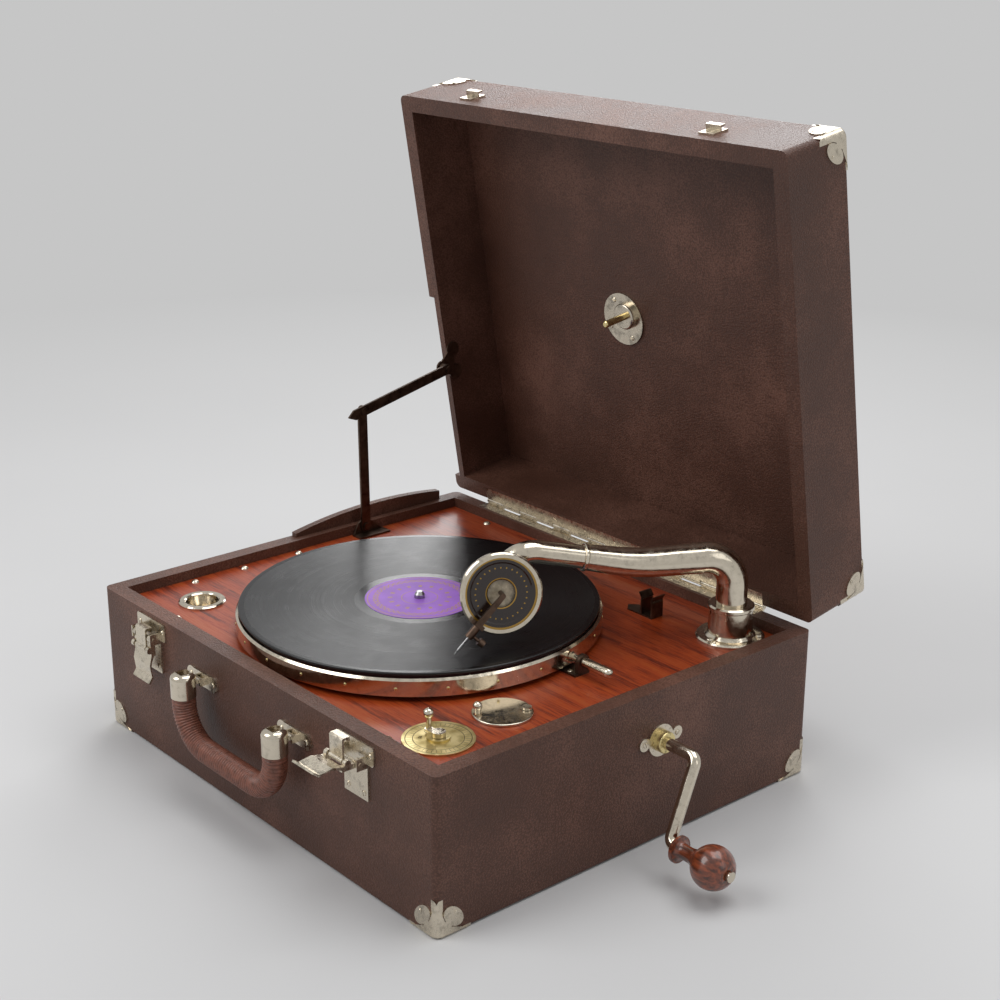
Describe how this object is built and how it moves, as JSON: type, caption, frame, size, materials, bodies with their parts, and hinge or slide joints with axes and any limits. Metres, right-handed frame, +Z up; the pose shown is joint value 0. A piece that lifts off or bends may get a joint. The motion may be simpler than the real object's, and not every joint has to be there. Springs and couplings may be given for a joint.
{
  "type": "portable gramophone",
  "caption": "Wind-up portable gramophone in a hinged carrying case, with a spring motor, a curved tone arm and a soundbox",
  "frame": {"origin": "middle of the case's footprint, on the surface it stands on", "axes": "+X right seen from the handle, +Y to the hinge side, +Z up"},
  "size_m": [0.472, 0.4227, 0.4445],
  "materials": {
    "nickel": null,
    "brass": null,
    "steel": null,
    "dark_steel": null,
    "leathercloth": null,
    "mahogany": null,
    "pale_wood": null,
    "knob_wood": null,
    "grip_leather": null,
    "shellac": null,
    "paper_label": null,
    "felt": null,
    "horn_metal": null,
    "dark_face": null,
    "mica": null
  },
  "bodies": {
    "base": {"case_shell": "leathercloth", "bottom_board": "pale_wood", "motor_board": "mahogany", "board_screws": "nickel", "base_corner_caps": "nickel", "hinge_base_leaf": "nickel", "hinge_pins": "steel", "sound_horn": "horn_metal", "crank_clip": "dark_steel", "stay_foot": "dark_steel", "latch_plates": "nickel", "handle_plates": "nickel", "crank_escutcheon": "nickel", "crank_bush": "brass", "motor_plates": "steel", "motor_pillars": "steel", "brake_bracket": "nickel", "speed_dial": "brass", "needle_cups": "nickel", "tonearm_foot": "nickel"},
    "lid": {"lid_shell": "leathercloth", "hinge_lid_leaf": "nickel", "lid_corner_caps": "nickel", "lid_catches": "nickel", "record_holder": "nickel", "stay_lid_bracket": "dark_steel"},
    "stay_lower": {"stay_lower_link": "dark_steel"},
    "stay_upper": {"stay_upper_link": "dark_steel"},
    "sound_flap": {"sound_flap": "leathercloth"},
    "latch_lever_left": {"latch_lever_left": "nickel"},
    "latch_claw_left": {"latch_claw_left": "nickel"},
    "latch_lever_right": {"latch_lever_right": "nickel"},
    "latch_claw_right": {"latch_claw_right": "nickel"},
    "handle_links": {"handle_links": "nickel"},
    "handle": {"handle_grip": "grip_leather", "handle_caps": "nickel"},
    "crank": {"crank": "nickel", "winding_worm": "steel"},
    "crank_knob": {"crank_knob": "knob_wood"},
    "barrel_arbor": {"barrel_arbor": "steel"},
    "spring_barrel": {"spring_barrel": "brass", "mainspring": "steel"},
    "middle_wheel": {"middle_wheel": "brass"},
    "turntable": {"turntable": "nickel", "turntable_felt": "felt", "record": "shellac", "record_label": "paper_label", "spindle": "steel"},
    "governor": {"governor": "steel"},
    "speed_arm": {"speed_arm": "steel"},
    "brake": {"brake_rod": "nickel"},
    "speed_lever": {"speed_lever": "nickel"},
    "needle_box_lid": {"needle_box_lid": "nickel"},
    "tonearm": {"tonearm": "nickel"},
    "soundbox": {"gooseneck": "nickel", "soundbox_body": "nickel", "soundbox_diaphragm": "mica", "soundbox_face": "dark_face", "needle_bar": "nickel", "needle": "steel"}
  },
  "joints": [
    {"name": "lid_hinge", "type": "hinge", "parent": "base", "child": "lid", "pos_m": [0, 0.1665, 0.1092], "axis": [1, 0, 0], "range_deg": [0, 60]},
    {"name": "stay_lower_pivot", "type": "hinge", "parent": "base", "child": "stay_lower", "pos_m": [-0.1738, 0.0567, 0.1065], "axis": [1, 0, 0], "range_deg": [0, 70]},
    {"name": "stay_upper_pivot", "type": "hinge", "parent": "lid", "child": "stay_upper", "pos_m": [-0.1716, 0.1391, 0.2207], "axis": [-1, 0, 0], "range_deg": [0, 85]},
    {"name": "sound_flap_hinge", "type": "hinge", "parent": "base", "child": "sound_flap", "pos_m": [-0.18815, 0.07, 0.01885], "axis": [0, -1, 0], "range_deg": [0, 85]},
    {"name": "latch_left", "type": "hinge", "parent": "base", "child": "latch_lever_left", "pos_m": [-0.1242, -0.1705, 0.093], "axis": [-1, 0, 0], "range_deg": [0, 120]},
    {"name": "claw_left", "type": "hinge", "parent": "latch_lever_left", "child": "latch_claw_left", "pos_m": [-0.1242, -0.173, 0.085], "axis": [-1, 0, 0], "range_deg": [-120, 0]},
    {"name": "latch_right", "type": "hinge", "parent": "base", "child": "latch_lever_right", "pos_m": [0.1158, -0.1705, 0.093], "axis": [-1, 0, 0], "range_deg": [-90, 30]},
    {"name": "claw_right", "type": "hinge", "parent": "latch_lever_right", "child": "latch_claw_right", "pos_m": [0.1158, -0.1785, 0.0955], "axis": [-1, 0, 0], "range_deg": [-30, 90]},
    {"name": "handle_links_pivot", "type": "hinge", "parent": "base", "child": "handle_links", "pos_m": [-0.0042, -0.1682, 0.081], "axis": [-1, 0, 0], "range_deg": [0, 30]},
    {"name": "handle_swing", "type": "hinge", "parent": "handle_links", "child": "handle", "pos_m": [-0.0042, -0.18, 0.0835], "axis": [-1, 0, 0], "range_deg": [0, 75]},
    {"name": "crank_spin", "type": "hinge", "parent": "base", "child": "crank", "pos_m": [0.191, 0.019, 0.072], "axis": [1, 0, 0], "continuous": true},
    {"name": "crank_knob_spin", "type": "hinge", "parent": "crank", "child": "crank_knob", "pos_m": [0.235, -0.00815, 0.02302], "axis": [1, 0, 0], "continuous": true},
    {"name": "barrel_arbor_wind", "type": "hinge", "parent": "base", "child": "barrel_arbor", "pos_m": [0.04797, -0.0089, 0.072], "axis": [0, 0, 1], "continuous": true},
    {"name": "turntable_spin", "type": "hinge", "parent": "base", "child": "turntable", "pos_m": [-0.005, -0.021, 0.1142], "axis": [0, 0, -1], "continuous": true},
    {"name": "middle_wheel_spin", "type": "hinge", "parent": "base", "child": "middle_wheel", "pos_m": [0.02328, -0.03732, 0.037], "axis": [0, 0, -1], "continuous": true},
    {"name": "spring_barrel_spin", "type": "hinge", "parent": "base", "child": "spring_barrel", "pos_m": [0.04797, -0.0089, 0.062], "axis": [0, 0, -1], "continuous": true},
    {"name": "governor_spin", "type": "hinge", "parent": "base", "child": "governor", "pos_m": [-0.02552, -0.021, 0.056], "axis": [0, 1, 0], "continuous": true},
    {"name": "speed_lever_turn", "type": "hinge", "parent": "base", "child": "speed_lever", "pos_m": [0.1425, -0.1225, 0.0995], "axis": [0, 0, 1], "range_deg": [-35, 35]},
    {"name": "speed_arm_turn", "type": "hinge", "parent": "base", "child": "speed_arm", "pos_m": [0.00847, 0.0265, 0.081], "axis": [0, 0, 1], "range_deg": [-2, 2]},
    {"name": "brake_slide", "type": "slide", "parent": "base", "child": "brake", "axis": [1, 0, 0], "range_m": [0, 0.006]},
    {"name": "needle_box_lid_swing", "type": "hinge", "parent": "base", "child": "needle_box_lid", "pos_m": [0.14825, -0.05658, 0.0995], "axis": [0, 0, 1], "range_deg": [0, 70]},
    {"name": "tonearm_swing", "type": "hinge", "parent": "base", "child": "tonearm", "pos_m": [0.15, 0.127, 0.1245], "axis": [0, 0, -1], "range_deg": [-22, 14]},
    {"name": "gooseneck_turn", "type": "hinge", "parent": "tonearm", "child": "soundbox", "pos_m": [0.09905, 0.03875, 0.1643], "axis": [0.4916, 0.8515, -0.1822], "range_deg": [-150, 0]}
  ],
  "couplings": [
    {"joint": "stay_lower_pivot", "follows": "lid_hinge", "ratio": 1.062},
    {"joint": "stay_upper_pivot", "follows": "lid_hinge", "ratio": 1.285},
    {"joint": "claw_left", "follows": "latch_left", "ratio": -1},
    {"joint": "claw_right", "follows": "latch_right", "ratio": -1},
    {"joint": "barrel_arbor_wind", "follows": "crank_spin", "ratio": 0.055556},
    {"joint": "middle_wheel_spin", "follows": "turntable_spin", "ratio": -0.3},
    {"joint": "spring_barrel_spin", "follows": "turntable_spin", "ratio": 0.075},
    {"joint": "governor_spin", "follows": "turntable_spin", "ratio": 6},
    {"joint": "speed_arm_turn", "follows": "speed_lever_turn", "ratio": 0.05}
  ]
}
